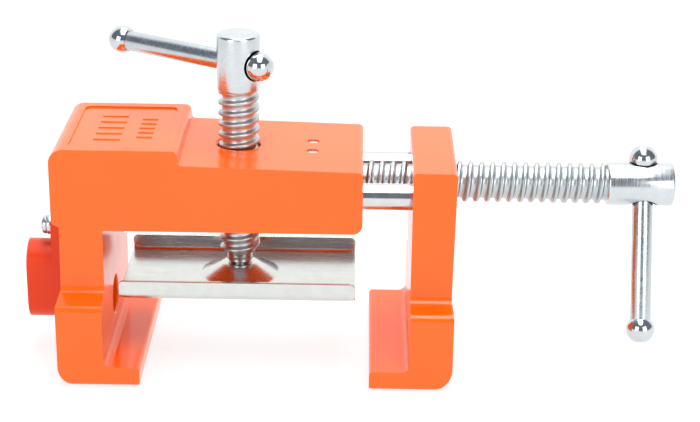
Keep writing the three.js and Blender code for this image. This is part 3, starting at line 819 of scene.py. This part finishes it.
def make_guide(materials):
    """The swinging guide: a thin arm and a thick boss, both round ended, and its pressed-in bush."""
    arm_half, boss_half, boss_top, arc_steps = 6.6, 6.8, 26.1, 16
    inner, arm_outer, boss_outer = FOOT_OUTER - CLEAR, -54.4, guide_low.x - AXIS_X
    arm = stadium(arm_half, DRILL_Z - arm_half, PIVOT_Z + arm_half)
    guide = through_x("swing_guide", arm, arm_outer, inner, arc_steps)
    boss = stadium(boss_half, DRILL_Z - boss_half, boss_top + boss_half)
    combine(guide, through_x("boss", boss, boss_outer, inner, arc_steps), "UNION")
    fair(guide)
    round_edges(guide, 0.7, 4, 40)
    # a pad round the pivot bears on the leg
    pad_radius, pad_start, pad_end = 5, arm_outer + 1, LEG_OUTER - 0.45
    pad = turned("pad", [(0, pad_start), (pad_radius, pad_start), (pad_radius, pad_end), (0, pad_end)])
    combine(guide, on_x_axis(pad, 0, PIVOT_Z), "UNION")
    before, after, seat = boss_outer - 1, inner + 1, 4.25
    hole = turned("drill", [(0, before), (seat + 0.95, before), (seat, boss_outer + 0.5),
                            (seat, after), (0, after)])
    combine(guide, on_x_axis(hole, 0, DRILL_Z))
    before, after, radius = arm_outer - 1, LEG_OUTER + 1, PIVOT_BORE_RADIUS
    pivot = turned("drill", [(0, before), (radius, before), (radius, after), (0, after)], 32)
    combine(guide, on_x_axis(pivot, 0, PIVOT_Z))
    smooth(guide)
    cover(guide, materials["red_orange"])
    fit(guide, "guide", "guide_coat", "drill_guide")
    low, high = (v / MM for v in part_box("drill_guide_bushing"))
    start, end = low.x - AXIS_X, high.x - AXIS_X
    bore, outer = 2.45, 4.2
    bush = turned("guide_bush", [
        (bore, start + 0.9), (3.3, start + 0.1), (3.5, start), (outer - 0.2, start),
        (outer, start + 0.2), (outer, end - 0.2), (outer - 0.2, end), (bore + 0.15, end),
        (bore, end - 0.15), (bore, start + 0.9),
    ])
    on_x_axis(bush, 0, DRILL_Z)
    smooth(bush, 30, weighted=False)
    cover(bush, materials["tool"])
    fit(bush, "guide", "tool_steel", "drill_guide_bushing")


def make_pivot(materials):
    """The slotted pan-head screw that the guide swings on, and the split spring washer under its
    head."""
    low, high = (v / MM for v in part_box("guide_pivot_screw"))
    head_face, end = low.x - AXIS_X, high.x - AXIS_X
    head_radius, shank, crown_height = 2.7, 1.9, 1.2
    under = head_face + 1.8
    angles = [math.radians(a) for a in range(0, 91, 10)]
    crown = [(head_radius * math.sin(a), under - 0.6 - crown_height * math.cos(a)) for a in angles]
    screw = turned("pivot_pan_screw", [
        *crown, (head_radius, under - 0.1), (head_radius - 0.1, under), (shank, under),
        (shank, end - 0.4), (shank - 0.4, end), (0, end),
    ], 48)
    slot_width, slot_depth = 0.8, 0.9
    combine(screw, block((0, 0, head_face * MM), (slot_width, 8, 2 * slot_depth)))
    on_x_axis(screw, 0, PIVOT_Z)
    smooth(screw, 35, weighted=False)
    cover(screw, materials["turned_x"])
    fit(screw, "frame", "bright_plate", "guide_pivot_screw")
    low, high = (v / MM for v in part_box("guide_spring_washer"))
    start, end = low.x - AXIS_X, high.x - AXIS_X
    inner, outer, ease = 2.15, 2.85, 0.2
    corners = [(inner, start, ease), (outer, start, ease), (outer, end, ease), (inner, end, ease)]
    washer = profile_line("split_spring_washer", rounded(corners, 3), fill=True)
    spun(washer, 44, math.radians(350))
    on_x_axis(washer, 0, PIVOT_Z)
    smooth(washer, 40, weighted=False)
    cover(washer, materials["turned_x"])
    fit(washer, "frame", "bright_plate", "guide_spring_washer")


# ---- studio ----
def make_floor():
    """A plain white light table, wide enough to fill every view; its own light leaves only faint
    shadows. Sizes and places in the studio are in metres."""
    width, drop = 6, 0.0002  # it lies just under the feet, so that no two faces share a plane
    bpy.ops.object.select_all(action="DESELECT")
    bpy.ops.mesh.primitive_plane_add(size=width, location=(0, 0, -drop))
    floor = bpy.context.object
    floor.name = "studio_floor"
    material, tree, shader, _ = new_material("backlit_white_acrylic")
    feed(tree, shader, Base_Color=linear("#8C8C8C"), Roughness=0.9,
         Emission_Color=linear("#FFFFFF"), Emission_Strength=0.75)
    floor.data.materials.append(material)


def softbox(name, location, target, size, power):
    """A rectangular area light that faces a target; power is in watts."""
    data = bpy.data.lights.new(name, "AREA")
    data.shape = "RECTANGLE"
    data.size, data.size_y = size
    data.energy = power
    light = bpy.data.objects.new(name, data)
    bpy.context.scene.collection.objects.link(light)
    light.location = location
    light.rotation_euler = (Vector(target) - Vector(location)).to_track_quat("-Z", "Y").to_euler()


def make_light():
    """A bright white room that is white behind the clamp, at the floor and straight overhead. It is
    grey in front and to the sides, from just above the floor to nearly overhead, and two softboxes
    stand in that grey. Round metal gets its dark bands from it."""
    world = bpy.data.worlds.new("studio")
    bpy.context.scene.world = world
    world.use_nodes = True
    tree = world.node_tree
    parts = add_node(tree, "SeparateXYZ", Vector=add_node(tree, "TexCoord").outputs["Generated"])
    masks = []
    # along an axis of the direction of view: where the room is still white, and where it is grey
    for axis, white_at, grey_at in (("Y", 0.45, 0.2), ("Z", 0.02, 0.12), ("Z", 0.985, 0.94)):
        mask = add_node(tree, "MapRange", Value=parts.outputs[axis], From_Min=white_at,
                        From_Max=grey_at, To_Min=0, To_Max=1)
        masks.append(mask.outputs["Result"])
    grey = masks[0]
    for mask in masks[1:]:
        product = add_node(tree, "Math", grey, mask, settings={"operation": "MULTIPLY"})
        grey = product.outputs[0]
    colour = add_node(tree, "ValToRGB", Fac=grey)
    for stop, code in zip(colour.color_ramp.elements, ("#FFFFFF", "#6C727A")):
        stop.color = linear(code)
    feed(tree, tree.nodes["Background"], Color=colour.outputs["Color"], Strength=1.25)
    softbox("overhead_softbox", (0.03, 0.0, 0.9), (0, 0, 0), (1.2, 0.45), 9)
    for name, x in (("left_softbox", -0.58), ("right_softbox", 0.58)):
        softbox(name, (x, -0.85, 0.4), (0, 0, 0.03), (0.55, 0.6), 3.2)


def make_camera():
    """Stands in front and above, about half a metre away, with a long lens."""
    data = bpy.data.cameras.new("camera")
    camera = bpy.data.objects.new("camera", data)
    bpy.context.scene.collection.objects.link(camera)
    pitch, yaw, roll = (math.radians(a) for a in (21.23, 0.21, 0.82))
    turn = (Matrix.Rotation(yaw, 4, "Z") @ Matrix.Rotation(math.radians(90) - pitch, 4, "X")
            @ Matrix.Rotation(roll, 4, "Z"))
    camera.matrix_world = Matrix.Translation(at(33.86, -480.99, 230.17)) @ turn
    data.sensor_width = 36
    data.lens = 91.15
    data.clip_start = 0.01
    bpy.context.scene.camera = camera


def build():
    """Sets up the studio, then makes every piece and fits it in place of its CAD node."""
    materials = make_materials()
    make_camera()
    make_light()
    make_floor()
    fit(make_body(materials), "frame", "orange_coat", "clamp_body")
    fit(make_jaw(materials), "jaw", "orange_coat", "moving_jaw")
    fit(make_clamp_screw(materials), "main_spindle", "bright_plate", "clamp_screw")
    fit(make_press_screw(materials), "press_spindle", "bright_plate", "press_screw")
    make_handles(materials)
    fit(make_plate(materials), "plate", "sheet_steel", "press_plate")
    make_washer_and_ring(materials)
    make_rods_and_pins(materials)
    make_guide(materials)
    make_pivot(materials)


build()
bpy.context.scene.view_settings.view_transform = "Standard"
